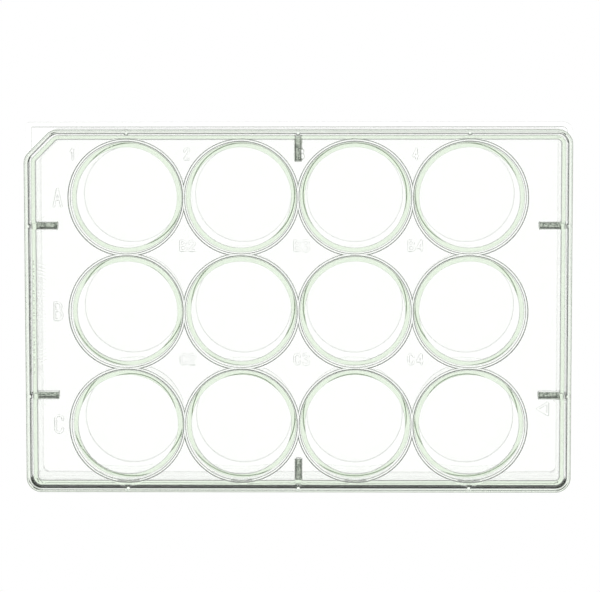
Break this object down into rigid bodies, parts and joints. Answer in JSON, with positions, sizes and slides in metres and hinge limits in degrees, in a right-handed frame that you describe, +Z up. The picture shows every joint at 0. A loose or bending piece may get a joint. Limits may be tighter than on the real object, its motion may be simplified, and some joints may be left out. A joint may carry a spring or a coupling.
{
  "type": "well plate",
  "caption": "Clear cell culture plate of round open wells in a flanged frame, with a loose clear lid whose skirt drops over it and whose rings surround the wells.",
  "frame": {"origin": "on the floor, under the middle of the plate", "axes": "+X along the well columns 1 to 4, +Y towards row A, +Z up; the cut corner at well A1 is at -X, +Y"},
  "size_m": [0.1278, 0.0854, 0.0222],
  "materials": {
    "clear_plate": "clear injection-moulded polystyrene, polished, with a slight green-grey tint at its edges",
    "clear_lid": "clear injection-moulded polystyrene, polished, with a slight green-grey tint at its edges"
  },
  "bodies": {
    "root": {"plate": "clear_plate", "lid": "clear_lid"}
  },
  "joints": []
}
